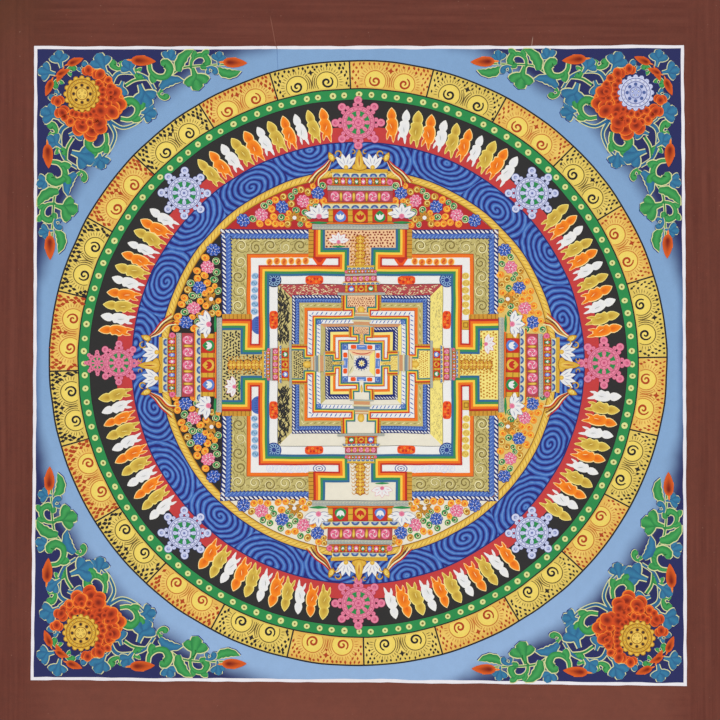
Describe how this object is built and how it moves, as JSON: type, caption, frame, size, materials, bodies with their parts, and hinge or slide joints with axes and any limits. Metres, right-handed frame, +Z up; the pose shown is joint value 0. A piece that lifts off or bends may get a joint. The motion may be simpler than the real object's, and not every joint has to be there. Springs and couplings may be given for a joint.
{
  "type": "painted cloth mandala hanging",
  "caption": "Square painted cotton canvas that hangs from its top edge, with a ringed mandala on a blue field inside a white line and a maroon painted border.",
  "frame": {"origin": "middle of the cloth's top edge, at half its thickness, where it is held", "axes": "+Z up, the cloth hangs down from the origin, its painted face looks along -Y and +X is to the right as the face is seen"},
  "size_m": [0.5818, 0.0087, 0.582],
  "materials": {
    "painted_canvas": "matt hand painted cotton canvas, primed cream back"
  },
  "bodies": {
    "root": {"canvas": "painted_canvas"}
  },
  "joints": []
}
